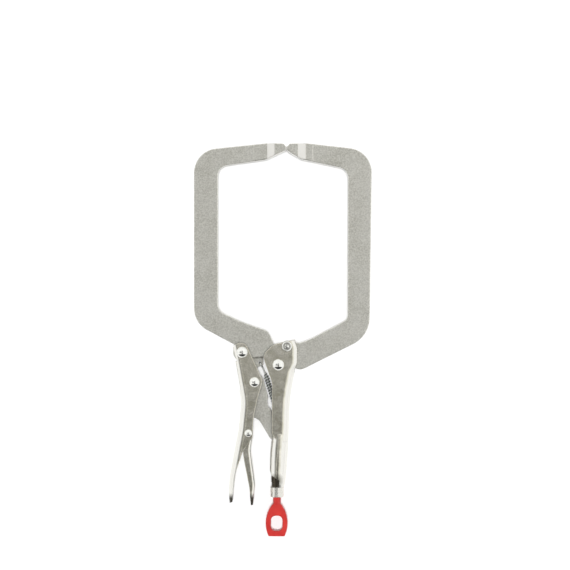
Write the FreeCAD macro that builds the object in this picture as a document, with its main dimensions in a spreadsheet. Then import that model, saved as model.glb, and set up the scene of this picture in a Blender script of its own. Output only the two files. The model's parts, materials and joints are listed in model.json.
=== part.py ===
"""Locking C-clamp, lying flat: X across the two arms, Y towards the jaws, Z through the thickness.

The origin is below the middle of the clamp's outline, on the plane its rivet heads rest on. Every piece is
symmetric about the middle plane, so each body is drawn on that plane and padded or cut both ways.
"""

import FreeCAD
import Part
import math
import os

import Sketcher

os.makedirs("parts", exist_ok=True)
doc = FreeCAD.newDocument("locking_c_clamp")

# ---------------------------------------------------------------------------------------------------------
# Driving dimensions, millimetres and degrees
# ---------------------------------------------------------------------------------------------------------
DIMENSIONS = {
    # whole clamp
    "overall_length": 235.3,
    "overall_width": 106.4,
    "middle_height": 6.7,
    # arms, cut from one thickness of plate
    "arm_thickness": 6.5,
    "arm_width": 14.1,
    "arm_outer_round": 14.5,
    "arm_inner_round": 6.5,
    "jaw_plane": 2.0,
    "jaw_gap": 0.2,
    "jaw_face_top": 115.3,
    "jaw_face_bottom": 113.6,
    "jaw_pad_width": 12.6,
    "jaw_pad_reach": 6.9,
    "jaw_flare": 4.5,
    "jaw_root": 17.8,
    "jaw_root_step": 0.15,
    # pivots
    "main_pivot_x": -2.8,
    "main_pivot_y": -14.8,
    "lever_pivot_x": -24.4,
    "lever_pivot_y": -7.3,
    "arm_pin_shank": 1.8,
    "arm_pin_head": 3.0,
    "link_pivot_x": -17.0,
    "link_pivot_y": -25.2,
    "release_pivot_x": -20.6,
    "release_pivot_y": -55.7,
    "arm_pin_x": 2.3,
    "arm_pin_y": -3.7,
    "pivot_clearance": 0.05,
    "main_lobe_radius": 6.8,
    "lever_lobe_radius": 5.4,
    # pressed sheet of both handles
    "sheet": 1.6,
    "channel_width": 10.0,
    "channel_inside": 6.8,
    "bend_radius": 4.2,
    "lever_bend": 4.2,
    # fixed handle, along its own screw axis from the main pivot down
    "handle_tilt": 0.6,
    "window_bottom": 4.6,
    "slit_width": 5.6,
    "slit_top": 41.1,
    "tube_end": 73.5,
    # threaded collar
    "collar_radius": 4.0,
    "collar_length": 6.0,
    "barrel_top": 66.5,
    "barrel_step": 70.5,
    "barrel_radius": 3.55,
    "barrel_neck": 3.3,
    "thread_radius": 2.5,
    # adjusting screw and key
    "screw_nose": 52.2,
    "screw_end": 78.5,
    "neck_radius": 2.35,
    "key_thickness": 4.2,
    "key_neck_end": 83.4,
    "key_base": 102.9,
    "key_base_half_width": 4.8,
    "key_side_radius": 18.3,
    "key_hole_width": 6.9,
    "key_hole_height": 9.0,
    "key_hole_centre": 95.1,
    "key_hole_round": 2.8,
    # toggle link and release lever
    "link_thickness": 5.0,
    "link_lobe_radius": 5.4,
    "link_foot_x": 13.9,
    "link_foot_y": -34.4,
    "link_foot_radius": 2.6,
    "release_width": 6.2,
    "release_sheet": 1.2,
    # rivets: shank radius, head radius, head height
    "main_shank": 2.2,
    "main_head": 3.5,
    "main_dome": 1.7,
    "lever_shank": 2.1,
    "lever_head": 3.4,
    "lever_dome": 1.7,
    "link_shank": 2.0,
    "link_head": 3.15,
    "link_dome": 1.6,
    "release_shank": 1.4,
    "release_head": 2.4,
    "release_dome": 1.3,
    # tension spring
    "spring_radius": 1.65,
    "spring_wire": 0.33,
    "spring_top_x": -10.7,
    "spring_top_y": -19.8,
    "spring_coil": 24.0,
    "spring_lean": 16.7,
    "spring_hole_x": -13.9,
    "spring_hole_y": -13.4,
    "upper_hook": 1.6,
    "lower_hook": 1.9,
    "tab_thickness": 1.6,
}


class Size:
    """A length that also keeps the sheet expression it comes from, so that a feature can be bound to it."""

    def __init__(self, value, text=None):
        self.value = float(value)
        self.text = text or repr(float(value))

    def __add__(self, other):
        other = as_size(other)
        return Size(self.value + other.value, f"({self.text} + {other.text})")

    def __sub__(self, other):
        other = as_size(other)
        return Size(self.value - other.value, f"({self.text} - {other.text})")

    def __mul__(self, other):
        other = as_size(other)
        return Size(self.value * other.value, f"({self.text} * {other.text})")

    def __truediv__(self, other):
        other = as_size(other)
        return Size(self.value / other.value, f"({self.text} / {other.text})")

    def __neg__(self):
        return Size(-self.value, f"(-1 * {self.text})")

    def __radd__(self, other):
        return as_size(other) + self

    def __rsub__(self, other):
        return as_size(other) - self

    def __rmul__(self, other):
        return as_size(other) * self


def as_size(number):
    return number if isinstance(number, Size) else Size(number)


sheet_cells = doc.addObject("Spreadsheet::Sheet", "Dims")
for row, (word, number) in enumerate(DIMENSIONS.items(), start=1):
    sheet_cells.set(f"A{row}", word)
    sheet_cells.set(f"B{row}", str(number))
    sheet_cells.setAlias(f"B{row}", word)
doc.recompute()


def dim(word):
    """The named cell, as a number and as an expression."""
    return Size(sheet_cells.get(word), f"Dims.{word}")


HALF_WIDTH = dim("overall_width") / 2
TOP = dim("overall_length") / 2
MOVING_FACE = dim("jaw_plane") - dim("jaw_gap") / 2
FIXED_FACE = dim("jaw_plane") + dim("jaw_gap") / 2
HANDLE_X = dim("main_pivot_x")
HANDLE_Y = dim("main_pivot_y")
SQUARE = [(-1, -1), (1, -1), (1, 1), (-1, 1)]


# ---------------------------------------------------------------------------------------------------------
# Ways of making features
# ---------------------------------------------------------------------------------------------------------
def new_body(name, x=0.0, y=0.0, turn=0.0):
    """A body on the clamp's middle plane, with its own origin at x, y."""
    body = doc.addObject("PartDesign::Body", name)
    body.Label = name
    body.Placement = FreeCAD.Placement(
        FreeCAD.Vector(as_size(x).value, as_size(y).value, dim("middle_height").value),
        FreeCAD.Rotation(FreeCAD.Vector(0, 0, 1), turn),
    )
    body.setExpression("Placement.Base.x", as_size(x).text)
    body.setExpression("Placement.Base.y", as_size(y).text)
    body.setExpression("Placement.Base.z", dim("middle_height").text)
    return body


def sketch_on(body, name, role="XY_Plane"):
    sketch = body.newObject("Sketcher::SketchObject", name)
    plane = next(feature for feature in body.Origin.OriginFeatures if feature.Role == role)
    sketch.AttachmentSupport = [(plane, "")]
    sketch.MapMode = "FlatFace"
    return sketch


def place_point(sketch, edge, end, x, y):
    """Hold one end of an edge at x, y from the sketch's origin."""
    for kind, size in (("DistanceX", x), ("DistanceY", y)):
        size = as_size(size)
        number = sketch.addConstraint(Sketcher.Constraint(kind, -1, 1, edge, end, size.value))
        sketch.setExpression(f"Constraints[{number}]", size.text)


def draw_polygon(sketch, corners):
    """Edges from corner to corner, closed, each corner held to its place."""
    points = [FreeCAD.Vector(as_size(c[0]).value, as_size(c[1]).value, 0) for c in corners]
    count = len(points)
    for edge, point in enumerate(points):
        sketch.addGeometry(Part.LineSegment(point, points[(edge + 1) % count]), False)
    for edge in range(count):
        sketch.addConstraint(Sketcher.Constraint("Coincident", edge, 2, (edge + 1) % count, 1))
    for edge, corner in enumerate(corners):
        place_point(sketch, edge, 1, corner[0], corner[1])


def outline(body, name, corners):
    """A closed polygon on the middle plane. Each corner is (x, y) or (x, y, rounding radius)."""
    sketch = sketch_on(body, name)
    draw_polygon(sketch, corners)
    return sketch


def circle(body, name, x, y, radius, role="XY_Plane"):
    sketch = sketch_on(body, name, role)
    centre = FreeCAD.Vector(as_size(x).value, as_size(y).value, 0)
    radius = as_size(radius)
    sketch.addGeometry(Part.Circle(centre, FreeCAD.Vector(0, 0, 1), radius.value), False)
    place_point(sketch, 0, 3, x, y)
    number = sketch.addConstraint(Sketcher.Constraint("Radius", 0, radius.value))
    sketch.setExpression(f"Constraints[{number}]", radius.text)
    return sketch


def across(body, kind, sketch, width):
    """Pad or pocket a sketch by a width, half to each side of the middle plane."""
    feature = body.newObject(f"PartDesign::{kind}", f"{sketch.Name}_{kind}")
    feature.Profile = sketch
    feature.SideType = "Symmetric"
    width = as_size(width)
    feature.Length = width.value
    feature.setExpression("Length", width.text)
    before = body.Shape.Volume if kind == "Pocket" else 0.0
    doc.recompute()
    if kind == "Pocket" and not body.Shape.Volume < before - 0.01:
        raise ValueError(f"{feature.Name} cuts nothing")
    return feature


def is_upright(edge):
    """Does this edge run along Z?"""
    first, last = edge.Vertexes[0].Point, edge.Vertexes[-1].Point
    return math.hypot(first.x - last.x, first.y - last.y) < 1e-4 and abs(first.z - last.z) > 0.1


def fillet(body, name, radius, wanted):
    """Round the edges of the body for which wanted(edge) is true."""
    base = body.Tip
    edges = [f"Edge{i}" for i, edge in enumerate(base.Shape.Edges, start=1) if wanted(edge)]
    if not edges:
        raise ValueError(f"{name} finds no edge")
    feature = body.newObject("PartDesign::Fillet", name)
    feature.Base = (base, edges)
    radius = as_size(radius)
    feature.Radius = radius.value
    feature.setExpression("Radius", radius.text)
    doc.recompute()
    if "Invalid" in feature.State or not feature.Shape.isValid():
        raise ValueError(f"{name} fails on {edges}")
    return feature


def round_corners(body, name, corners):
    """Round the upright edges of a padded outline, one fillet for each radius."""
    radii = {}
    for corner in corners:
        if len(corner) == 3:
            radius = as_size(corner[2])
            radii.setdefault(radius.text, (radius, []))[1].append(corner)
    for number, (radius, places) in enumerate(radii.values(), start=1):

        def at_a_place(edge, places=places):
            point = edge.Vertexes[0].Point
            return is_upright(edge) and any(
                math.hypot(point.x - as_size(x).value, point.y - as_size(y).value) < 1e-3
                for x, y, _ in places
            )

        fillet(body, f"{name}_round{number}", radius, at_a_place)


def plate(name, corners, thickness, x=0.0, y=0.0, turn=0.0):
    """A body cut from flat stock: a padded outline with its corners rounded."""
    body = new_body(name, x, y, turn)
    across(body, "Pad", outline(body, f"{name}_outline", corners), thickness)
    round_corners(body, name, corners)
    return body


def disc(body, name, x, y, radius, thickness, kind="Pad"):
    across(body, kind, circle(body, name, x, y, radius), thickness)


def near_path(point, path, reach=0.9):
    """Does a point lie within reach of a chain of corners, seen from above?"""
    for (x1, y1), (x2, y2) in zip(path, path[1:]):
        along_x, along_y = x2 - x1, y2 - y1
        share = ((point.x - x1) * along_x + (point.y - y1) * along_y) / (along_x**2 + along_y**2)
        share = min(max(share, 0.0), 1.0)
        if math.hypot(point.x - x1 - share * along_x, point.y - y1 - share * along_y) < reach:
            return True
    return False


def bend(body, name, radius, corners, width):
    """Round the two long edges of a channel's spine, at half the width above and below the middle."""
    path = [(as_size(corner[0]).value, as_size(corner[1]).value) for corner in corners]
    height = as_size(width).value / 2

    def on_the_spine(edge):
        ends = [vertex.Point for vertex in edge.Vertexes]
        middle = edge.valueAt((edge.FirstParameter + edge.LastParameter) / 2)
        level = all(abs(abs(point.z) - height) < 1e-4 for point in [*ends, middle])
        return level and near_path(middle, path) and all(near_path(end, path) for end in ends)

    fillet(body, name, radius, on_the_spine)


def revolve(body, kind, name, corners, role="XY_Plane"):
    """Turn a half outline about its sketch's vertical axis, as a Revolution or a Groove."""
    sketch = sketch_on(body, name, role)
    draw_polygon(sketch, corners)
    feature = body.newObject(f"PartDesign::{kind}", f"{name}_{kind}")
    feature.Profile = sketch
    feature.ReferenceAxis = (sketch, ["V_Axis"])
    feature.Angle = 360
    doc.recompute()
    return feature


def tube_loft(body, kind, name, stations):
    """Loft round sections standing across Y. Each station is (y, centre x, radius)."""
    sketches = []
    for number, (y, x, radius) in enumerate(stations, start=1):
        sketch = circle(body, f"{name}_section{number}", x, 0, radius, "XZ_Plane")
        sketch.AttachmentOffset = FreeCAD.Placement(FreeCAD.Vector(0, 0, -as_size(y).value), FreeCAD.Rotation())
        sketch.setExpression("AttachmentOffset.Base.z", (-as_size(y)).text)
        sketches.append(sketch)
    doc.recompute()
    feature = body.newObject(f"PartDesign::{kind}", name)
    feature.Profile = sketches[0]
    feature.Sections = sketches[1:]
    doc.recompute()
    return feature


# ---------------------------------------------------------------------------------------------------------
# Arms
# ---------------------------------------------------------------------------------------------------------
def forge_jaw(body, name, inwards, tip, root):
    """The forged tip: full pad width from the jaw face to a shoulder, then flaring down to the plate.

    inwards is +1 when the arm lies on the +X side of its face and -1 on the other. tip and root are the plans
    of the tip and of the milled stretch behind it, each given where the flare meets the plate.
    """
    face = FIXED_FACE if inwards > 0 else MOVING_FACE
    shoulder = face + inwards * dim("jaw_pad_reach")
    foot = shoulder + inwards * dim("jaw_flare")
    half_pad = dim("jaw_pad_width") / 2
    half_plate = dim("arm_thickness") / 2 + dim("jaw_root_step")
    across(body, "Pad", outline(body, f"{name}_root", root(foot)), 2 * half_plate)
    across(body, "Pad", outline(body, f"{name}_tip", tip(foot)), dim("jaw_pad_width"))
    for side, word in ((1, "upper"), (-1, "lower")):
        wedge = [
            (foot, side * half_plate),
            (shoulder, side * half_pad),
            (shoulder, side * (half_pad + 1)),
            (foot, side * (half_pad + 1)),
        ]
        sketch = sketch_on(body, f"{name}_{word}_flare", "XZ_Plane")
        draw_polygon(sketch, wedge)
        across(body, "Pocket", sketch, 2 * dim("overall_length"))


def moving_arm():
    inner = dim("arm_width") - HALF_WIDTH
    corners = [
        (MOVING_FACE, dim("jaw_face_bottom")),
        (MOVING_FACE, dim("jaw_face_top")),
        (0.2, 117.3),
        (-9.7, TOP),
        (-HALF_WIDTH, 113.1, dim("arm_outer_round")),
        (-HALF_WIDTH, 10.2, dim("arm_outer_round")),
        (-29.3, -2.6),
        (dim("lever_pivot_x"), dim("lever_pivot_y")),
        (-21.5, -11.0),
        (-12.0, -10.1),
        (HANDLE_X, HANDLE_Y),
        (-3.6, -8.8),
        (-5.8, -1.6, 4.0),
        (-9.0, 5.2, 5.0),
        (-24.8, 10.7),
        (inner, 17.3, dim("arm_inner_round")),
        (inner, 103.9, dim("arm_inner_round")),
        (-10.6, 107.9, 5.0),
        (-2.8, 111.6),
    ]
    body = plate("moving_arm", corners, dim("arm_thickness"))

    def tip(foot):
        return [
            (MOVING_FACE, dim("jaw_face_bottom")),
            (MOVING_FACE, dim("jaw_face_top")),
            (0.2, 117.3),
            (foot, 117.6),
            (foot, 108.2),
            (-6.6, 109.6),
            (-2.8, 111.5),
        ]

    def root(foot):
        return [(foot, 117.6), (foot, 108.5), (-dim("jaw_root"), 107.2), (-dim("jaw_root"), 116.7)]

    forge_jaw(body, "moving", -1, tip, root)
    disc(body, "main_lobe", HANDLE_X, HANDLE_Y, dim("main_lobe_radius"), dim("arm_thickness"))
    disc(
        body,
        "lever_lobe",
        dim("lever_pivot_x"),
        dim("lever_pivot_y"),
        dim("lever_lobe_radius"),
        dim("arm_thickness"),
    )
    tab = [(-19.5, -9.5), (-17.5, -15.0), (-15.2, -16.6), (-11.8, -14.9), (-12.0, -9.5)]
    across(body, "Pad", outline(body, "spring_tab", tab), dim("tab_thickness"))
    disc(
        body,
        "spring_hole",
        dim("spring_hole_x"),
        dim("spring_hole_y"),
        0.9,
        dim("arm_thickness"),
        "Pocket",
    )
    wide = dim("channel_width")
    loose = dim("pivot_clearance")
    disc(body, "main_hole", HANDLE_X, HANDLE_Y, dim("main_shank") + loose, wide, "Pocket")
    disc(
        body,
        "lever_hole",
        dim("lever_pivot_x"),
        dim("lever_pivot_y"),
        dim("lever_shank") + loose,
        wide,
        "Pocket",
    )
    return body


def fixed_arm():
    inner = HALF_WIDTH - dim("arm_width")
    corners = [
        (FIXED_FACE, dim("jaw_face_top")),
        (FIXED_FACE, dim("jaw_face_bottom")),
        (5.6, 111.3),
        (10.8, 108.2, 5.0),
        (inner, 102.3, dim("arm_inner_round")),
        (inner - 0.3, 12.3, 4.0),
        (16.1, 0.2, 30.0),
        (9.9, -1.9),
        (7.0, -1.5),
        (-1.4, -2.8, 1.0),
        (-3.0, -5.6),
        (-1.0, -12.0),
        (4.5, -16.0),
        (10.8, -17.9, 5.0),
        (51.7, 2.5, 18.0),
        (HALF_WIDTH, 113.2, dim("arm_outer_round")),
        (14.0, TOP),
        (4.0, 117.3),
    ]
    body = plate("fixed_arm", corners, dim("arm_thickness"))

    def tip(foot):
        return [
            (FIXED_FACE, dim("jaw_face_top")),
            (FIXED_FACE, dim("jaw_face_bottom")),
            (5.6, 111.2),
            (10.8, 108.4),
            (foot, 107.9),
            (foot, 117.5),
            (4.0, 117.3),
        ]

    def root(foot):
        return [(foot, 117.6), (foot, 108.1), (dim("jaw_root"), 106.9), (dim("jaw_root"), 117.2)]

    forge_jaw(body, "fixed", 1, tip, root)
    swing = dim("main_lobe_radius") + 0.5
    disc(body, "lobe_relief", HANDLE_X, HANDLE_Y, swing, dim("channel_width"), "Pocket")
    disc(
        body,
        "pin_hole",
        dim("arm_pin_x"),
        dim("arm_pin_y"),
        dim("arm_pin_shank"),
        dim("channel_width"),
        "Pocket",
    )
    return body


# ---------------------------------------------------------------------------------------------------------
# Fixed handle and what its lower end holds, along the screw axis
# ---------------------------------------------------------------------------------------------------------
def handle_body(name):
    """A body whose origin is the main pivot and whose Y axis is the screw axis."""
    return new_body(name, HANDLE_X, HANDLE_Y, -dim("handle_tilt").value)


def fixed_handle():
    body = handle_body("fixed_handle")
    flare = [(10.6, 15.1), (12.3, 10.5, 7.0), (12.3, 0.5, 7.0)]
    spine = [(9.5, -5.2, 7.0), (7.0, -21.0, 60.0), (6.6, -38.0, 60.0), (6.4, -46.0)]
    corners = [
        (-3.4, 11.9, 6.0),
        *flare,
        *spine,
        (0.0, -46.0),
        (-3.4, -dim("slit_top")),
        (-3.5, -11.0, 20.0),
        (-9.5, 5.5, 4.5),
    ]
    wide = dim("channel_width")
    across(body, "Pad", outline(body, "handle_side", corners), wide)
    round_corners(body, "handle_side", corners)
    bend(body, "handle_bend", dim("bend_radius"), [*flare, *spine], wide)
    inside = [(x - dim("sheet"), y, *rest) for x, y, *rest in spine[1:3]]
    hollow = [
        (-14.0, 20.0),
        (16.0, 20.0),
        (16.0, -dim("window_bottom")),
        (8.1, -dim("window_bottom")),
        *inside,
        (4.9, -42.5),
        (-14.0, -42.5),
    ]
    narrow = dim("channel_inside")
    across(body, "Pocket", outline(body, "handle_hollow", hollow), narrow)
    round_corners(body, "handle_hollow", hollow)
    inner_bend = dim("bend_radius") - dim("sheet")
    bend(body, "hollow_bend", inner_bend, hollow[3:7], narrow)

    stations = [
        (-41.5, 1.35, 5.15),
        (-48.0, 0.9, 5.45),
        (-56.0, 0.45, 5.55),
        (-63.0, 0.2, 5.35),
        (-69.5, 0.05, 4.95),
        (-dim("tube_end"), 0.0, 4.15),
    ]
    tube_loft(body, "AdditiveLoft", "tube", stations)
    bored = [(y, x, radius - dim("sheet")) for y, x, radius in stations[:4]]
    bored.append((-dim("barrel_step"), 0.0, dim("barrel_radius") + 0.1))
    tube_loft(body, "SubtractiveLoft", "tube_bore", bored)
    neck = dim("barrel_neck")
    end = [
        (0.0, -dim("barrel_step") + 0.1),
        (neck, -dim("barrel_step") + 0.1),
        (neck, -dim("tube_end") - 1.0),
        (0.0, -dim("tube_end") - 1.0),
    ]
    revolve(body, "Groove", "tube_end_bore", end)
    slit = [(-14.0, -40.0), (0.5, -40.0), (0.5, -69.0), (-14.0, -69.0)]
    across(body, "Pocket", outline(body, "slit", slit), dim("slit_width"))
    mouth = [
        (-14.0, -61.5),
        (-5.0, -61.5),
        (-3.4, -66.3),
        (1.2, -69.2, 1.5),
        (1.2, -dim("tube_end") - 1.0),
        (-14.0, -dim("tube_end") - 1.0),
    ]
    across(body, "Pocket", outline(body, "slit_mouth", mouth), 3 * wide)

    tongue = [(-1.3, -30.9), (-1.3, -29.9), (6.0, -29.9), (6.0, -30.9)]
    across(body, "Pad", outline(body, "spring_tongue", tongue), 1.8)
    disc(body, "main_hole", 0, 0, dim("main_shank"), 2 * wide, "Pocket")
    pin_x, pin_y = in_handle(dim("arm_pin_x").value, dim("arm_pin_y").value)
    disc(body, "pin_hole", pin_x, pin_y, dim("arm_pin_shank"), 2 * wide, "Pocket")
    return body


def in_handle(x, y):
    """A place on the clamp, measured in the handle's tilted frame."""
    tilt = math.radians(dim("handle_tilt").value)
    dx, dy = x - HANDLE_X.value, y - HANDLE_Y.value
    return dx * math.cos(tilt) - dy * math.sin(tilt), dx * math.sin(tilt) + dy * math.cos(tilt)


def threaded_collar():
    body = handle_body("threaded_collar")
    bore = dim("thread_radius") + dim("pivot_clearance")
    end = -dim("tube_end") - dim("collar_length")
    profile = [
        (bore, -dim("barrel_top")),
        (dim("barrel_radius") - 0.4, -dim("barrel_top")),
        (dim("barrel_radius"), -dim("barrel_top") - 0.4),
        (dim("barrel_radius"), -dim("barrel_step")),
        (dim("barrel_neck"), -dim("barrel_step")),
        (dim("barrel_neck"), -dim("tube_end")),
        (dim("collar_radius"), -dim("tube_end")),
        (dim("collar_radius"), end + 0.4),
        (dim("collar_radius") - 0.4, end),
        (bore, end),
    ]
    revolve(body, "Revolution", "collar_profile", profile)
    return body


def adjusting_screw():
    body = handle_body("adjusting_screw")
    radius = dim("thread_radius")
    profile = [
        (0.0, -dim("screw_nose")),
        (radius - 0.9, -dim("screw_nose")),
        (radius, -dim("screw_nose") - 0.9),
        (radius, -dim("screw_end")),
        (0.0, -dim("screw_end")),
    ]
    revolve(body, "Revolution", "screw_profile", profile)
    return body


def key_side(sketch):
    """The loop's plan: a straight top and base joined by one arc on each side."""
    top, base = -dim("key_neck_end"), -dim("key_base")
    half_top, half_base = dim("neck_radius"), dim("key_base_half_width")
    radius = dim("key_side_radius")
    corners = [(-half_top, top), (half_top, top), (half_base, base), (-half_base, base)]
    points = [FreeCAD.Vector(x.value, y.value, 0) for x, y in corners]
    line_ends = [(0, 1), (0, 2), (1, 1), (1, 2)]
    sketch.addGeometry(Part.LineSegment(points[0], points[1]), False)
    sketch.addGeometry(Part.LineSegment(points[2], points[3]), False)
    for line_end, corner in zip(line_ends, corners):
        place_point(sketch, *line_end, *corner)
    for start, end in ((1, 2), (3, 0)):
        chord = points[end] - points[start]
        out = FreeCAD.Vector(-chord.y, chord.x, 0).normalize()
        rise = radius.value - math.sqrt(radius.value**2 - (chord.Length / 2) ** 2)
        crown = (points[start] + points[end]) / 2 + out * rise
        arc = sketch.addGeometry(Part.Arc(points[start], crown, points[end]), False)
        for tip in (1, 2):
            here = sketch.getPoint(arc, tip)
            near = min((start, end), key=lambda number: here.distanceToPoint(points[number]))
            sketch.addConstraint(Sketcher.Constraint("Coincident", arc, tip, *line_ends[near]))
        number = sketch.addConstraint(Sketcher.Constraint("Radius", arc, radius.value))
        sketch.setExpression(f"Constraints[{number}]", radius.text)
    return sketch


def screw_key():
    body = handle_body("screw_key")
    neck = dim("neck_radius")
    top = -dim("key_neck_end")
    profile = [(0.0, -dim("screw_end")), (neck, -dim("screw_end")), (neck, top), (0.0, top)]
    revolve(body, "Revolution", "key_neck", profile)
    across(body, "Pad", key_side(sketch_on(body, "key_loop")), dim("key_thickness"))
    x, y = dim("key_hole_width") / 2, dim("key_hole_height") / 2
    centre = -dim("key_hole_centre")
    hole = [(side * x, centre + end * y, dim("key_hole_round")) for side, end in SQUARE]
    across(body, "Pocket", outline(body, "key_hole", hole), 2 * dim("key_thickness"))
    round_corners(body, "key_hole", hole)
    height = dim("key_thickness").value / 2

    def on_the_rim(edge):
        ends = [vertex.Point for vertex in edge.Vertexes]
        level = all(abs(abs(point.z) - height) < 1e-4 for point in ends)
        return level and any(point.y < top.value - 1 for point in ends)

    fillet(body, "key_rim", 0.7, on_the_rim)
    return body


# ---------------------------------------------------------------------------------------------------------
# Lever, its release and the toggle link. Each is drawn from the pivot it turns about
# ---------------------------------------------------------------------------------------------------------
def from_lever(x, y):
    """A place on the clamp, measured from the lever's own pivot."""
    return x - dim("lever_pivot_x"), y - dim("lever_pivot_y")


def lever_handle():
    body = new_body("lever_handle", dim("lever_pivot_x"), dim("lever_pivot_y"))
    spine = [(-4.5, -8.0), (-0.6, -30.0, 30.0), (-2.2, -46.0, 60.0), (-8.6, -80.0, 60.0), (-7.0, -96.6)]
    ear = [(-5.6, 5.6, 4.2), (2.0, 5.6, 4.0), (12.3, -17.2, 4.5)]
    left_ear = [(-4.5, -6.1), (-2.9, -5.0), (-5.6, 0.3)]
    wide, narrow = dim("channel_width"), dim("channel_inside")
    corners = [*ear[:2], ear[2][:2], (12.3, -96.6), *reversed(spine), *left_ear]
    across(body, "Pad", outline(body, "lever_side", corners), wide)
    round_corners(body, "lever_side", corners)
    bend(body, "lever_bend", dim("lever_bend"), spine, wide)

    sheet = dim("sheet")
    inside = [(x + sheet, y, *rest) for x, y, *rest in spine[1:]]
    hollow = [(-14.0, 12.0), (-14.0, -23.6), (-0.2, -23.6), *inside, (20.0, -96.6), (20.0, 12.0)]
    across(body, "Pocket", outline(body, "lever_hollow", hollow), narrow)
    round_corners(body, "lever_hollow", hollow)
    bend(body, "lever_inner_bend", dim("lever_bend") - sheet, hollow[2:7], narrow)

    edge = [
        ear[2],
        (8.9, -28.5, 30.0),
        (6.5, -41.0, 30.0),
        (6.2, -50.8, 0.8),
        (0.1, -60.0, 6.0),
        (-4.3, -72.6, 40.0),
        (-5.9, -89.5),
        (-7.6, -90.4),
        (-14.0, -93.0),
        (-14.0, -99.0),
        (20.0, -99.0),
        (20.0, -17.2),
    ]
    across(body, "Pocket", outline(body, "lever_edge", edge), 2 * wide)
    round_corners(body, "lever_edge", edge)
    disc(body, "lever_hole", 0, 0, dim("lever_shank"), 2 * wide, "Pocket")
    for word in ("link", "release"):
        x, y = from_lever(dim(f"{word}_pivot_x"), dim(f"{word}_pivot_y"))
        disc(body, f"{word}_hole", x, y, dim(f"{word}_shank"), 2 * wide, "Pocket")
    return body


def release_lever():
    body = new_body("release_lever", dim("release_pivot_x"), dim("release_pivot_y"))
    spine = [(2.4, 7.4), (2.4, -3.0, 10.0), (1.1, -10.0, 15.0), (3.9, -31.0, 15.0), (2.3, -46.0)]
    wide, sheet = dim("release_width"), dim("release_sheet")
    across(body, "Pad", outline(body, "release_side", [(-8.0, 8.2), (0.5, 8.2), *spine, (-8.0, -46.0)]), wide)
    round_corners(body, "release_side", spine)
    bend(body, "release_bend", 1.6, spine, wide)
    inside = [(x - sheet, y, *rest) for x, y, *rest in spine]
    hollow = [(-9.0, 7.0), *inside, (-9.0, -46.0)]
    across(body, "Pocket", outline(body, "release_hollow", hollow), wide - 2 * sheet)
    round_corners(body, "release_hollow", inside)
    edge = [
        (-1.2, 9.0),
        (-3.2, -2.0),
        (-3.2, -13.5, 20.0),
        (0.5, -33.0),
        (1.4, -43.2),
        (6.0, -43.0),
        (6.0, -50.0),
        (-12.0, -50.0),
        (-12.0, 9.0),
    ]
    across(body, "Pocket", outline(body, "release_edge", edge), 2 * wide)
    round_corners(body, "release_edge", edge)
    hole = dim("release_shank") + dim("pivot_clearance")
    disc(body, "release_hole", 0, 0, hole, 2 * wide, "Pocket")
    return body


def toggle_link():
    corners = [
        (0.0, 0.0),
        (-4.8, -1.8),
        (-3.9, -17.8, 3.0),
        (-2.0, -20.7, 2.0),
        (1.9, -22.0, 6.0),
        (4.1, -24.9),
        (9.4, -33.9),
        (dim("link_foot_x"), dim("link_foot_y")),
        (16.1, -31.8),
        (9.6, -16.5, 1.5),
        (8.1, -14.8),
        (7.5, -11.5),
        (8.1, -9.7),
        (5.4, 0.8),
    ]
    thick = dim("link_thickness")
    body = plate("toggle_link", corners, thick, dim("link_pivot_x"), dim("link_pivot_y"))
    disc(body, "link_lobe", 0, 0, dim("link_lobe_radius"), thick)
    disc(body, "link_foot", dim("link_foot_x"), dim("link_foot_y"), dim("link_foot_radius"), thick)
    hole = dim("link_shank") + dim("pivot_clearance")
    disc(body, "link_hole", 0, 0, hole, 2 * thick, "Pocket")
    return body


# ---------------------------------------------------------------------------------------------------------
# Rivets, pin and spring
# ---------------------------------------------------------------------------------------------------------
def primitive(kind, name, place, turn=None, **sizes):
    """A Part solid at x, y, z, its sizes bound to the sheet. turn is the rotation it is laid with."""
    feature = doc.addObject(f"Part::{kind}", name)
    for key, size in sizes.items():
        size = as_size(size)
        setattr(feature, key, size.value)
        feature.setExpression(key, size.text)
    feature.Placement.Rotation = turn or FreeCAD.Rotation()
    for axis, size in zip("xyz", place):
        feature.setExpression(f"Placement.Base.{axis}", as_size(size).text)
    return feature


def fuse(name, solids):
    whole = doc.addObject("Part::MultiFuse", name)
    whole.Shapes = solids
    whole.Refine = True
    return whole


def rivet(name, word, x, y):
    """A shank through both walls of a handle, with a domed head on each side."""
    shank, head, dome = (dim(f"{word}_{part}") for part in ("shank", "head", "dome"))
    half = dim("channel_width") / 2
    middle = dim("middle_height")
    sphere = (head * head + dome * dome) / (2 * dome)
    rise = sphere - dome
    latitude = math.degrees(math.asin(rise.value / sphere.value))
    cylinder = primitive(
        "Cylinder", f"{name}_shank", (x, y, middle - half), Radius=shank, Height=2 * half
    )
    upper = primitive(
        "Sphere", f"{name}_upper", (x, y, middle + half - rise), Radius=sphere, Angle1=latitude, Angle2=90
    )
    lower = primitive(
        "Sphere", f"{name}_lower", (x, y, middle - half + rise), Radius=sphere, Angle1=-90, Angle2=-latitude
    )
    return fuse(name, [cylinder, upper, lower])


def fixed_arm_pin():
    """A hollow-set pin: each head is a rounded rim, a sunk ring and a button in the middle."""
    body = new_body("fixed_arm_pin", dim("arm_pin_x"), dim("arm_pin_y"))
    shank, head = dim("arm_pin_shank"), dim("arm_pin_head")
    wall = dim("channel_width") / 2
    steps = ((head, 0.0), (head, 0.3), (2.5, 0.8), (2.1, 0.8), (1.8, 0.2), (1.4, 0.2), (1.2, 0.7), (0.0, 0.9))
    upper = [(radius, wall + height) for radius, height in steps]
    lower = [(radius, -height) for radius, height in reversed(upper)]
    revolve(body, "Revolution", "pin", [*lower, (shank, -wall), (shank, wall), *upper], "XZ_Plane")
    return body


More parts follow.
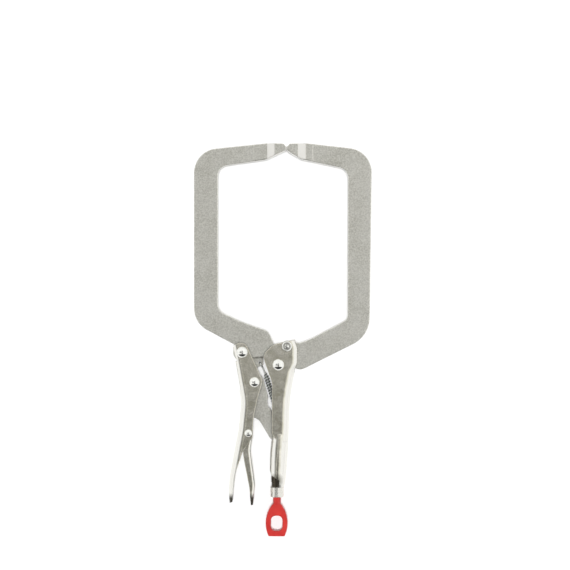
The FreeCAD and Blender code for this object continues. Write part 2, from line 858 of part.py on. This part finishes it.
def tension_spring():
    """The close-wound coil as a solid rod, with a plain wire ring at each end."""
    middle = dim("middle_height")
    wire = dim("spring_wire")
    lean = math.radians(dim("spring_lean").value)
    top_x, top_y = dim("spring_top_x"), dim("spring_top_y")
    down_x, down_y = math.sin(lean), -math.cos(lean)
    coil = primitive(
        "Cylinder",
        "spring_coil",
        (top_x, top_y, middle),
        FreeCAD.Rotation(FreeCAD.Vector(0, 0, 1), FreeCAD.Vector(down_x, down_y, 0)),
        Radius=dim("spring_radius"),
        Height=dim("spring_coil"),
    )
    reach = dim("spring_coil") + dim("lower_hook") - wire / 2
    lower = primitive(
        "Torus",
        "spring_lower_hook",
        (top_x + reach * down_x, top_y + reach * down_y, middle),
        FreeCAD.Rotation(FreeCAD.Vector(0, 0, 1), FreeCAD.Vector(-down_y, down_x, 0)),
        Radius1=dim("lower_hook"),
        Radius2=wire,
    )
    hole_x, hole_y = dim("spring_hole_x"), dim("spring_hole_y")
    run_x, run_y = (top_x - hole_x).value, (top_y - hole_y).value
    run = math.hypot(run_x, run_y)
    along_x, along_y = run_x / run, run_y / run
    hook = dim("upper_hook")
    upper = primitive(
        "Torus",
        "spring_upper_hook",
        (hole_x + hook * along_x, hole_y + hook * along_y, middle),
        FreeCAD.Rotation(FreeCAD.Vector(0, 0, 1), FreeCAD.Vector(-along_y, along_x, 0)),
        Radius1=hook,
        Radius2=wire,
    )
    leader = primitive(
        "Cylinder",
        "spring_leader",
        (hole_x + 2 * hook * along_x, hole_y + 2 * hook * along_y, middle),
        FreeCAD.Rotation(FreeCAD.Vector(0, 0, 1), FreeCAD.Vector(along_x, along_y, 0)),
        Radius=wire,
        Height=run + 0.3 - 2 * hook,
    )
    return fuse("tension_spring", [coil, lower, upper, leader])


# ---------------------------------------------------------------------------------------------------------
# Build, check and export
# ---------------------------------------------------------------------------------------------------------
def place_of(word):
    return dim(f"{word}_pivot_x"), dim(f"{word}_pivot_y")


pieces = [
    fixed_handle(),
    threaded_collar(),
    fixed_arm(),
    fixed_arm_pin(),
    rivet("main_pivot_rivet", "main", *place_of("main")),
    tension_spring(),
    moving_arm(),
    lever_handle(),
    rivet("lever_rivet", "lever", *place_of("lever")),
    rivet("link_rivet", "link", *place_of("link")),
    rivet("release_rivet", "release", *place_of("release")),
    toggle_link(),
    release_lever(),
    adjusting_screw(),
    screw_key(),
]
doc.recompute()

for feature in doc.Objects:
    if "Invalid" in feature.State or "Error" in feature.State:
        raise ValueError(f"{feature.Name} did not compute: {feature.State}")
for piece in pieces:
    shape = piece.Shape
    if not shape.isValid() or len(shape.Solids) != 1:
        raise ValueError(f"{piece.Name} is not one valid solid")
    box = shape.BoundBox
    print(
        f"{piece.Name:18s} {shape.Volume / 1000:8.3f} cm3"
        f"  x {box.XMin:7.2f} {box.XMax:7.2f}  y {box.YMin:8.2f} {box.YMax:7.2f}"
        f"  z {box.ZMin:5.2f} {box.ZMax:5.2f}"
    )
    shape.exportStep(f"parts/{piece.Name}.step")
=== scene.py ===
"""Looks of the locking C-clamp: the finishes, a wound spring, a cut thread, and the studio."""
import json
import math

import bmesh
import bpy
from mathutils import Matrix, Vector


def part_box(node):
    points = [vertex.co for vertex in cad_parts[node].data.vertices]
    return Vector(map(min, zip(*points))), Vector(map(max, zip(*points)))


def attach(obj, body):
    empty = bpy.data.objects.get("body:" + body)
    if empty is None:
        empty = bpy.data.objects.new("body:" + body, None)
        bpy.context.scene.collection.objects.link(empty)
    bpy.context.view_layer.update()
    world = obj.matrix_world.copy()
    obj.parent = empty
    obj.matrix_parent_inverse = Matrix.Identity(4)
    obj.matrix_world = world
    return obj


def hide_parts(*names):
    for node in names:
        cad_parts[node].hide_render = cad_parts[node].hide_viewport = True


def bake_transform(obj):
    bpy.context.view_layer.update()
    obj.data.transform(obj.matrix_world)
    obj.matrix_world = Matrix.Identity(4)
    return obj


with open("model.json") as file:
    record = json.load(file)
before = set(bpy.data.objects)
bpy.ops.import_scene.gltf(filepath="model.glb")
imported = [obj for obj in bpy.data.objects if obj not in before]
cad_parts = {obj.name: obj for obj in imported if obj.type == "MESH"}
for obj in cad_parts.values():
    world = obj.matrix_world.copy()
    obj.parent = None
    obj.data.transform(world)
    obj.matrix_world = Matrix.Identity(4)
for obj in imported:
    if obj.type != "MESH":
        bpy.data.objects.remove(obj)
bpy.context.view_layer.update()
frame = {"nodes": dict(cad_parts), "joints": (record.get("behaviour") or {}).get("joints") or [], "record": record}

MM = 0.001
NODES = frame["nodes"]
JOINTS = {joint["name"]: joint for joint in frame["joints"]}
MIDDLE = sum(corner[2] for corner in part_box("main_pivot_rivet")) / 2


# ---------------------------------------------------------------------------------------------------------
# Materials
# ---------------------------------------------------------------------------------------------------------
class Shader:
    """A node-based material being wired up."""

    def __init__(self, name, edge=0.0, **settings):
        """edge is the radius, in metres, that sharp edges are shaded with."""
        self.material = bpy.data.materials.new(name)
        self.material.use_nodes = True
        self.tree = self.material.node_tree
        self.surface = self.tree.nodes["Principled BSDF"]
        for socket, value in settings.items():
            self.surface.inputs[socket.replace("_", " ")].default_value = value
        self.place = self.node("ShaderNodeTexCoord").outputs["Object"]
        self.normal = None
        if edge:
            rounding = self.node("ShaderNodeBevel", samples=6, Radius=edge)
            self.normal = rounding.outputs["Normal"]
            self.link(self.normal, self.surface.inputs["Normal"])

    def node(self, kind, **settings):
        node = self.tree.nodes.new(kind)
        for key, value in settings.items():
            if key in node.inputs:
                node.inputs[key].default_value = value
            else:
                setattr(node, key, value)
        return node

    def link(self, start, end):
        self.tree.links.new(start, end)

    def noise(self, size, detail=4.0, rough=0.55, scale=(1, 1, 1)):
        """Noise with features about size metres across, its axes scaled for grain that runs along one."""
        mapping = self.node("ShaderNodeMapping")
        mapping.inputs["Scale"].default_value = scale
        self.link(self.place, mapping.inputs["Vector"])
        noise = self.node("ShaderNodeTexNoise", Scale=1 / size, Detail=detail, Roughness=rough)
        self.link(mapping.outputs["Vector"], noise.inputs["Vector"])
        return noise.outputs["Fac"]

    def span(self, value, low, high, start=0.3, stop=0.7):
        """value from start..stop mapped to low..high."""
        span = self.node("ShaderNodeMapRange")
        for socket, number in zip(("From Min", "From Max", "To Min", "To Max"), (start, stop, low, high)):
            span.inputs[socket].default_value = number
        self.link(value, span.inputs["Value"])
        return span.outputs["Result"]

    def mix(self, factor, low, high):
        mix = self.node("ShaderNodeMix", data_type="RGBA")
        self.link(factor, mix.inputs["Factor"])
        for socket, colour in zip((mix.inputs[6], mix.inputs[7]), (low, high)):
            if isinstance(colour, tuple):
                socket.default_value = (*colour, 1.0)
            else:
                self.link(colour, socket)
        return mix.outputs[2]

    def flats(self, steep=0.93, flat=0.99):
        """1 on faces that lie flat, falling to 0 as they turn over into a bend."""
        split = self.node("ShaderNodeSeparateXYZ")
        self.link(self.node("ShaderNodeTexCoord").outputs["Normal"], split.inputs[0])
        level = self.node("ShaderNodeMath", operation="ABSOLUTE")
        self.link(split.outputs["Z"], level.inputs[0])
        return self.span(level.outputs[0], 0.0, 1.0, steep, flat)

    def along(self, start, stop):
        """0 at Y = start, rising to 1 at Y = stop."""
        split = self.node("ShaderNodeSeparateXYZ")
        self.link(self.place, split.inputs[0])
        return self.span(split.outputs["Y"], 0.0, 1.0, start, stop)

    def around(self, centre, inner, outer):
        """1 within inner of a point, falling to 0 at outer."""
        distance = self.node("ShaderNodeVectorMath", operation="DISTANCE")
        distance.inputs[1].default_value = centre
        self.link(self.place, distance.inputs[0])
        return self.span(distance.outputs["Value"], 1.0, 0.0, inner, outer)

    def shade_crevices(self, colour, dark, reach):
        """A colour turned dark as painted shade where other surfaces stand within reach (an ambient occlusion
        mask).
        """
        hidden = self.node("ShaderNodeAmbientOcclusion", samples=6, Distance=reach)
        return self.mix(self.span(hidden.outputs["AO"], 0.0, 1.0, 0.25, 0.8), dark, colour)

    def colour(self, output):
        self.link(output, self.surface.inputs["Base Color"])

    def rough(self, output):
        self.link(output, self.surface.inputs["Roughness"])

    def bump(self, *layers):
        """layers are (height output, strength, depth in metres), stacked on the rounded edges."""
        for height, strength, depth in layers:
            bump = self.node("ShaderNodeBump", Strength=strength, Distance=depth)
            self.link(height, bump.inputs["Height"])
            if self.normal is not None:
                self.link(self.normal, bump.inputs["Normal"])
            self.normal = bump.outputs["Normal"]
        self.link(self.normal, self.surface.inputs["Normal"])


# Dark colour of the painted shade in creases, grooves and between parts.
CREVICE_SHADE = (0.09, 0.085, 0.06)
# Dark colour for the lower tips of the lever and its release: a painted reflection of dark surroundings.
TIP_DARK_REFLECTION = (0.06, 0.055, 0.045)
TIP_START, TIP_FULL = -91.5 * MM, -94.5 * MM  # along Y, where the lever and its release darken
# Centre of a painted shadow on the tube, where the handle's opening lies in shade.
MOUTH_SHADE_CENTRE = (-4.2 * MM, -84.0 * MM, 2 * MIDDLE - 1.5 * MM)  # on the tube, above its mouth
TUBE_MOUTH = -88.3 * MM


def forged_nickel():
    """Satin nickel over shot-blasted forging: speckled, with faint darker drifts, its bends given an even brighter
    tone as a painted highlight, and painted shade in crevices.
    """
    steel = Shader("forged_nickel", edge=0.8 * MM, Metallic=1.0)
    drift = steel.span(steel.noise(13 * MM, 3), 0.0, 1.0)
    grain = steel.noise(0.85 * MM, 2, 0.6)
    pits = steel.noise(2.0 * MM, 3, 0.6)
    tone = steel.mix(drift, (0.60, 0.59, 0.515), (0.72, 0.71, 0.645))
    speckled = steel.mix(steel.span(grain, 0.0, 0.8, 0.36, 0.70), tone, (0.96, 0.95, 0.88))
    # Faces turning over into a bend get an even brighter tone: a painted highlight.
    wear_and_sheen = steel.mix(steel.flats(), (0.76, 0.75, 0.71), speckled)
    # Painted shade in crevices and between parts.
    steel.colour(steel.shade_crevices(wear_and_sheen, CREVICE_SHADE, 2.0 * MM))
    steel.rough(steel.span(pits, 0.28, 0.42))
    steel.bump((grain, 0.3, 0.08 * MM), (pits, 0.2, 0.12 * MM))
    return steel.material


def pressed_nickel():
    """Bright nickel on pressed sheet: rolling lines, mottled scuffs, a painted highlight on the bends, a painted
    shadow above the tube's mouth, tips darkened as a painted reflection, and painted shade in crevices.
    """
    steel = Shader("pressed_nickel", edge=0.75 * MM, Metallic=1.0)
    lines = steel.noise(0.5 * MM, 4, 0.6, (1, 0.06, 1))
    cloud = steel.span(steel.noise(6 * MM, 4), 0.0, 1.0)
    scuff = steel.noise(1.0 * MM, 5, 0.75)
    wear_and_sheen = steel.mix(cloud, (0.64, 0.62, 0.50), (0.94, 0.91, 0.81))
    scuffed = steel.mix(steel.span(scuff, 0.5, 0.0), wear_and_sheen, (0.40, 0.38, 0.29))
    # Faces turning over into a bend get an even bright tone: a painted highlight on the rounded spines.
    tone = steel.mix(steel.flats(), (0.82, 0.81, 0.76), scuffed)
    # A dark patch of painted shadow above the tube's mouth.
    mouth_shade = steel.around(MOUTH_SHADE_CENTRE, 1.5 * MM, 5.0 * MM)
    mouth_shaded = steel.mix(mouth_shade, tone, (0.22, 0.21, 0.17))
    # The lower tips are darkened as a painted reflection.
    tip_reflection = steel.mix(steel.along(TIP_START, TIP_FULL), mouth_shaded, TIP_DARK_REFLECTION)
    # Painted shade in crevices and between parts.
    steel.colour(steel.shade_crevices(tip_reflection, CREVICE_SHADE, 1.2 * MM))
    steel.rough(steel.span(scuff, 0.15, 0.25))
    steel.bump((lines, 0.06, 0.03 * MM), (scuff, 0.08, 0.05 * MM), (cloud, 0.2, 0.08 * MM))
    return steel.material


def polished_steel():
    """Rivet heads and pins: bright, faintly hammered by the setting tool, with painted shade in their grooves and
    around their rims.
    """
    steel = Shader("polished_steel", edge=0.12 * MM, Metallic=1.0)
    hammer = steel.span(steel.noise(1.6 * MM, 2), 0.0, 1.0)
    tone = steel.mix(hammer, (0.80, 0.80, 0.75), (0.90, 0.90, 0.86))
    # Painted shade in the grooves and around the rims of the heads.
    steel.colour(steel.shade_crevices(tone, (0.12, 0.11, 0.08), 0.55 * MM))
    steel.rough(steel.span(steel.noise(0.6 * MM), 0.08, 0.18))
    steel.bump((hammer, 0.15, 0.03 * MM))
    return steel.material


def turned_steel(name):
    """Bright turned steel with faint turning rings, and painted shade where other parts stand close."""
    steel = Shader(name, edge=0.15 * MM, Metallic=1.0)
    rings = steel.noise(0.3 * MM, 2, 0.5, (0.02, 1, 0.02))
    tone = steel.mix(steel.span(rings, 0.0, 1.0), (0.70, 0.68, 0.62), (0.80, 0.79, 0.74))
    # Painted shade where other parts stand close.
    tone_with_crevice_shade = steel.shade_crevices(tone, CREVICE_SHADE, 0.4 * MM)
    steel.colour(tone_with_crevice_shade)
    steel.rough(steel.span(steel.noise(1.2 * MM), 0.20, 0.32))
    steel.bump((rings, 0.1, 0.02 * MM))
    return steel, tone_with_crevice_shade


def collar_steel():
    """The collar, painted near black as shade where it runs inside the handle."""
    steel, tone_with_crevice_shade = turned_steel("collar_steel")
    inside = steel.along(TUBE_MOUTH - 0.3 * MM, TUBE_MOUTH + 0.3 * MM)
    # Near black painted shade on the part of the collar inside the handle.
    steel.colour(steel.mix(inside, tone_with_crevice_shade, (0.07, 0.06, 0.045)))
    return steel.material


def spring_wire():
    """Bright drawn wire: its tops left bright and its sides painted near black as shade between the coils."""
    steel = Shader("spring_wire", Metallic=1.0)
    draw = steel.span(steel.noise(0.3 * MM, 3), 0.0, 1.0)
    tone = steel.mix(draw, (0.84, 0.88, 0.86), (0.94, 0.95, 0.93))
    # Faces turned away from the top are painted near black: painted shade in the gaps between coils.
    steel.colour(steel.mix(steel.flats(0.45, 0.75), (0.025, 0.04, 0.035), tone))
    steel.rough(steel.span(draw, 0.18, 0.30))
    return steel.material


def red_enamel():
    """Dipped enamel: a soft orange peel, slightly deeper where it pooled."""
    paint = Shader("red_enamel", edge=0.3 * MM, Metallic=0.0, Specular_IOR_Level=0.5)
    pool = paint.span(paint.noise(5 * MM, 3), 0.0, 1.0)
    paint.colour(paint.mix(pool, (0.50, 0.022, 0.018), (0.62, 0.036, 0.028)))
    paint.rough(paint.span(paint.noise(0.8 * MM, 3), 0.28, 0.42))
    paint.bump((paint.noise(1.3 * MM, 2), 0.18, 0.10 * MM))
    return paint.material


FINISH = {
    "forged_nickel": forged_nickel(),
    "pressed_nickel": pressed_nickel(),
    "rivet_steel": polished_steel(),
    "screw_steel": turned_steel("screw_steel")[0].material,
    "spring_steel": spring_wire(),
    "red_enamel": red_enamel(),
}
SLOT_OF = {part["node"]: part["material_slot"] for part in frame["record"]["subparts"]}
for name, piece in NODES.items():
    piece.data.materials.clear()
    piece.data.materials.append(collar_steel() if name == "threaded_collar" else FINISH[SLOT_OF[name]])


# ---------------------------------------------------------------------------------------------------------
# Wound spring and cut thread, in place of the plain solids
# ---------------------------------------------------------------------------------------------------------
MAIN_PIVOT = Vector(JOINTS["arm_open"]["pos_m"])
SCREW_AXIS = Vector(JOINTS["screw_travel"]["axis"]).normalized()
UP = Vector((0, 0, 1))


def wire(name, points, radius):
    """A mesh tube of round wire along a smooth line through the given control points."""
    curve = bpy.data.curves.new(name, "CURVE")
    curve.dimensions = "3D"
    spline = curve.splines.new("NURBS")
    spline.points.add(len(points) - 1)
    for knot, point in zip(spline.points, points):
        knot.co = (*point, 1)
    spline.order_u = 4
    spline.use_endpoint_u = True
    spline.resolution_u = 3
    curve.bevel_depth = radius
    curve.bevel_resolution = 3
    curve.use_fill_caps = True
    drawn = bpy.data.objects.new(name + "_line", curve)
    mesh = bpy.data.meshes.new_from_object(drawn)
    mesh.name = name
    bpy.data.objects.remove(drawn)
    mesh.shade_smooth()
    piece = bpy.data.objects.new(name, mesh)
    bpy.context.scene.collection.objects.link(piece)
    return piece


def ring(centre, along, radius, start, stop, count=22):
    """Points of a ring that stands in the plane of along and UP."""
    turn = [math.radians(start + (stop - start) * step / count) for step in range(count + 1)]
    return [centre + (along * math.cos(a) + UP * math.sin(a)) * radius for a in turn]


def tension_spring():
    """An open-wound extension spring from the moving arm's tab down to the tongue in the fixed handle."""
    hole = Vector((-13.9 * MM, -13.4 * MM, MIDDLE))
    top = Vector((-10.7 * MM, -19.8 * MM, MIDDLE))
    lean = math.radians(16.7)
    down = Vector((math.sin(lean), -math.cos(lean), 0))
    side = down.cross(UP)
    length, turns, steps_a_turn = 24.0 * MM, 15, 14
    coil, gauge = 1.23 * MM, 0.42 * MM  # radius of the coil's centre line and of the wire
    upper, lower = 1.6 * MM, 1.9 * MM  # radii of the two hooks
    along = (top - hole).normalized()
    points = ring(hole + along * upper, along, upper, -345, 0)
    points.append(hole + along * (2 * upper + 0.6 * MM))
    points.append(top - along * 1.0 * MM)
    steps = turns * steps_a_turn
    for step in range(steps + 1):
        share = step / steps
        angle = 2 * math.pi * turns * share
        swell = min(1.0, 0.25 + 6 * share, 0.25 + 6 * (1 - share))
        around = (side * math.cos(angle) + UP * math.sin(angle)) * coil * swell
        points.append(top + down * length * share + around)
    bottom = top + down * (length + lower)
    points += ring(bottom, -down, lower, 12, 345)
    piece = wire("tension_spring_wire", points, gauge)
    piece.data.materials.append(FINISH["spring_steel"])
    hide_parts("tension_spring")
    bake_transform(piece)


def threaded_screw():
    """The screw's M5 thread as a closed surface of revolution with a helical ridge, its nose chamfered."""
    nose, end = 52.2 * MM, 78.5 * MM  # down the axis from the main pivot
    radius, pitch, depth, nose_chamfer = 2.5 * MM, 0.8 * MM, 0.46 * MM, 0.9 * MM
    across = UP.cross(SCREW_AXIS)
    sides, rows_a_turn = 40, 8
    rows = int((end - nose) / pitch * rows_a_turn)
    shape = bmesh.new()
    rings = []
    for row in range(rows + 1):
        down = nose + (end - nose) * row / rows
        chamfer = max(0.0, nose_chamfer - (down - nose))
        ring_points = []
        for side in range(sides):
            share = side / sides
            phase = (down / pitch - share) % 1.0
            ridge = min(1.0, 1.5 * abs(2 * phase - 1) ** 1.1)
            reach = min(radius - depth * (1 - ridge), radius - chamfer)
            angle = 2 * math.pi * share
            around = (across * math.cos(angle) + UP * math.sin(angle)) * reach
            ring_points.append(shape.verts.new(MAIN_PIVOT + SCREW_AXIS * down + around))
        rings.append(ring_points)
    for first, second in zip(rings, rings[1:]):
        for side in range(sides):
            after = (side + 1) % sides
            shape.faces.new((first[side], first[after], second[after], second[side]))
    shape.faces.new(rings[0][::-1])
    shape.faces.new(rings[-1])
    bmesh.ops.recalc_face_normals(shape, faces=shape.faces)
    mesh = bpy.data.meshes.new("screw_thread")
    shape.to_mesh(mesh)
    shape.free()
    mesh.shade_smooth()
    piece = bpy.data.objects.new("screw_thread", mesh)
    bpy.context.scene.collection.objects.link(piece)
    mesh.materials.append(FINISH["screw_steel"])
    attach(piece, "screw")
    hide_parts("adjusting_screw")


tension_spring()
threaded_screw()


# ---------------------------------------------------------------------------------------------------------
# Studio
# ---------------------------------------------------------------------------------------------------------
TENT_LEVEL = 1.10
SUNS = (("sun", 2.5, 8), ("fill", 1.2, 150))  # name, energy, angle in degrees, both straight overhead
FIELD = 0.342  # metres seen across the frame, at the clamp's middle plane
AIM = (0.0012, 0.0329)


def sky(world):
    """A bright tent with a greyer ceiling, a dark side towards -Y and a bright rim, for metal to mirror."""
    tree = world.node_tree
    background = tree.nodes["Background"]
    direction = tree.nodes.new("ShaderNodeTexCoord").outputs["Generated"]
    patches = (
        # tilt from the zenith, azimuth it leans to, inner and outer half angle, brightness
        (0, 0, 5, 15, 0.60),
        (28, 180, 11, 17, 0.26),
        (13, 90, 7, 12, 0.25),
        (16, 270, 9, 15, 0.10),
        (90, 270, 57, 62, 0.03),
        (180, 0, 102, 109, 1.02),
    )
    brightness = tree.nodes.new("ShaderNodeValue").outputs[0]
    brightness.default_value = TENT_LEVEL
    for tilt, azimuth, inner, outer, level in patches:
        tilt, azimuth = math.radians(tilt), math.radians(azimuth)
        axis = (math.sin(tilt) * math.cos(azimuth), math.sin(tilt) * math.sin(azimuth), math.cos(tilt))
        dot = tree.nodes.new("ShaderNodeVectorMath")
        dot.operation = "DOT_PRODUCT"
        dot.inputs[1].default_value = axis
        tree.links.new(direction, dot.inputs[0])
        inside = tree.nodes.new("ShaderNodeMapRange")
        inside.interpolation_type = "SMOOTHSTEP"
        inside.inputs["From Min"].default_value = math.cos(math.radians(outer))
        inside.inputs["From Max"].default_value = math.cos(math.radians(inner))
        tree.links.new(dot.outputs["Value"], inside.inputs["Value"])
        mix = tree.nodes.new("ShaderNodeMix")
        mix.inputs["B"].default_value = level
        tree.links.new(inside.outputs["Result"], mix.inputs["Factor"])
        tree.links.new(brightness, mix.inputs["A"])
        brightness = mix.outputs["Result"]
    tree.links.new(brightness, background.inputs["Color"])


def studio():
    scene = bpy.context.scene
    scene.view_settings.view_transform = "Standard"
    bpy.ops.mesh.primitive_plane_add(size=6, location=(0, 0, -0.02 * MM))
    floor = bpy.context.object
    floor.name = "floor"
    pale = Shader("pale_floor", Roughness=0.9, Specular_IOR_Level=0.1)
    pale.colour(pale.mix(pale.noise(0.4), (0.92, 0.92, 0.92), (0.95, 0.95, 0.95)))
    floor.data.materials.append(pale.material)

    world = bpy.data.worlds.new("studio")
    world.use_nodes = True
    scene.world = world
    world.cycles_visibility.diffuse = False
    sky(world)

    for name, energy, angle in SUNS:
        light = bpy.data.lights.new(name, "SUN")
        light.energy = energy
        light.angle = math.radians(angle)
        lamp = bpy.data.objects.new(name, light)
        scene.collection.objects.link(lamp)
        lamp.visible_glossy = False


def camera():
    data = bpy.data.cameras.new("camera")
    lens, sensor = 120.0, 36.0
    data.lens = lens
    data.sensor_width = sensor
    eye = bpy.data.objects.new("camera", data)
    bpy.context.scene.collection.objects.link(eye)
    eye.location = (*AIM, MIDDLE + FIELD * lens / sensor)
    bpy.context.scene.camera = eye


studio()
camera()
